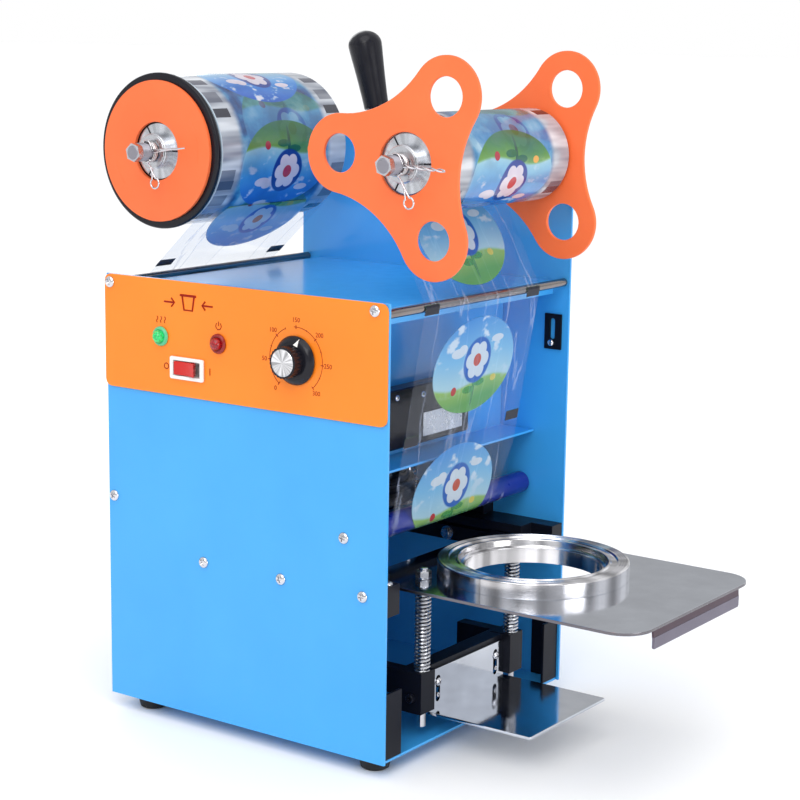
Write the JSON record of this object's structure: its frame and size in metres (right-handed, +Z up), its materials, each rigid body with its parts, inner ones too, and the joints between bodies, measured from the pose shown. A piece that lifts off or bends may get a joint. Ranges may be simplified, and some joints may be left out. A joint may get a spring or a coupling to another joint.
{
  "type": "cup sealing machine",
  "caption": "Hand-lever cup sealer: blue cabinet, orange control strip, slide-out drawer with mould ring and cup platform, film reels above, lever-driven heating head.",
  "frame": {"origin": "on the table, under the centre of the whole machine's bounding box with the drawer pulled out", "axes": "+Z up, -Y towards the operator and the drawer, +X towards the lever"},
  "size_m": [0.2614, 0.4324, 0.469],
  "materials": {
    "blue_sheet": "gloss powder coat",
    "orange_sheet": "satin printed panel",
    "orange_plastic": "satin",
    "black_steel": "blackened, semi-gloss",
    "black_plastic": "gloss",
    "mirror_steel": "mirror-polished stainless steel",
    "turned_steel": "turned and polished",
    "aluminium": "machined",
    "blue_roller": "smooth",
    "clear_film": "clear plastic film with round prints",
    "printed_film": "wound printed film",
    "white_plastic": "gloss",
    "red_plastic": "translucent gloss",
    "green_plastic": "translucent gloss",
    "rubber": "matt"
  },
  "bodies": {
    "cabinet": {"base_plate": "blue_sheet", "left_side_panel": "blue_sheet", "right_side_panel": "blue_sheet", "rear_panel": "blue_sheet", "top_cover": "blue_sheet", "inner_front_panel": "blue_sheet", "control_panel": "orange_sheet", "slide_rail_left": "black_steel", "slide_rail_right": "black_steel", "die_plate": "black_steel", "front_guide_rod": "turned_steel", "rear_guide_rod": "turned_steel", "foot_front_left": "rubber", "foot_front_right": "rubber", "foot_rear_left": "rubber", "foot_rear_right": "rubber", "terminal_box": "black_plastic", "temperature_controller": "black_plastic", "green_lamp": "green_plastic", "red_lamp": "red_plastic", "switch_housing": "white_plastic", "film_stop_bracket": "black_steel", "power_inlet": "black_plastic", "supply_spindle": "turned_steel", "take_up_spindle": "turned_steel", "shaft_bush": "turned_steel", "head_post_left": "turned_steel", "head_post_right": "turned_steel", "head_bridge": "black_steel", "film_rear_run": "clear_film", "film_bed_run": "clear_film", "film_front_run": "clear_film"},
    "lever": {"main_shaft": "turned_steel", "press_cam": "turned_steel", "lever_arm": "turned_steel", "lever_grip": "black_plastic"},
    "head": {"head_carrier": "black_steel", "heating_head": "aluminium", "head_spring_left": "turned_steel", "head_spring_right": "turned_steel"},
    "drawer": {"slide_plate": "mirror_steel", "ring_mould": "turned_steel", "hanging_rod_left": "turned_steel", "hanging_rod_right": "turned_steel"},
    "cup_rest": {"rest_frame": "black_steel", "cup_platform": "mirror_steel", "rest_spring_left": "turned_steel", "rest_spring_right": "turned_steel"},
    "supply_reel": {"supply_disc": "orange_plastic", "supply_flange": "black_plastic", "supply_film_roll": "printed_film", "supply_hub": "black_plastic"},
    "take_up_reel": {"take_up_disc_near": "orange_plastic", "take_up_disc_far": "orange_plastic", "take_up_film_roll": "printed_film", "take_up_hub": "black_plastic"},
    "front_roller": {"front_roller": "blue_roller"},
    "rear_roller": {"rear_roller": "blue_roller"},
    "rocker": {"switch_rocker": "red_plastic"},
    "knob": {"temperature_knob": "black_plastic"}
  },
  "joints": [
    {"name": "lever_hinge", "type": "hinge", "parent": "cabinet", "child": "lever", "pos_m": [0.1184, 0.07788, 0.212], "axis": [1, 0, 0], "range_deg": [0, 75]},
    {"name": "head_slide", "type": "slide", "parent": "cabinet", "child": "head", "axis": [0, 0, -1], "range_m": [0, 0.0186], "stiffness_N_per_m": 1500, "springref_m": -0.012, "deforming": ["head_spring_left", "head_spring_right", "film_bed_run"]},
    {"name": "drawer_slide", "type": "slide", "parent": "cabinet", "child": "drawer", "axis": [0, 1, 0], "range_m": [0, 0.1588]},
    {"name": "cup_rest_slide", "type": "slide", "parent": "drawer", "child": "cup_rest", "axis": [0, 0, 1], "range_m": [0, 0.035], "deforming": ["rest_spring_left", "rest_spring_right"]},
    {"name": "supply_spin", "type": "hinge", "parent": "cabinet", "child": "supply_reel", "pos_m": [-0.0066, 0.16375, 0.387], "axis": [1, 0, 0], "continuous": true},
    {"name": "take_up_spin", "type": "hinge", "parent": "cabinet", "child": "take_up_reel", "pos_m": [-0.0066, -0.04225, 0.3885], "axis": [1, 0, 0], "continuous": true},
    {"name": "front_roller_spin", "type": "hinge", "parent": "cabinet", "child": "front_roller", "pos_m": [-0.0066, -0.02025, 0.153], "axis": [1, 0, 0], "continuous": true},
    {"name": "rear_roller_spin", "type": "hinge", "parent": "cabinet", "child": "rear_roller", "pos_m": [-0.0066, 0.17575, 0.1525], "axis": [1, 0, 0], "continuous": true},
    {"name": "rocker_tilt", "type": "hinge", "parent": "cabinet", "child": "rocker", "pos_m": [-0.1164, 0.10725, 0.2485], "axis": [0, 0, 1], "range_deg": [0, 16]},
    {"name": "knob_turn", "type": "hinge", "parent": "cabinet", "child": "knob", "pos_m": [-0.1164, 0.01675, 0.264], "axis": [-1, 0, 0], "range_deg": [-190, 80]}
  ],
  "couplings": [
    {"joint": "head_slide", "follows": "lever_hinge", "m_per_rad": 0.014133},
    {"joint": "take_up_spin", "follows": "supply_spin", "ratio": 1.6452},
    {"joint": "front_roller_spin", "follows": "supply_spin", "ratio": -6.8},
    {"joint": "rear_roller_spin", "follows": "supply_spin", "ratio": -6.8}
  ]
}
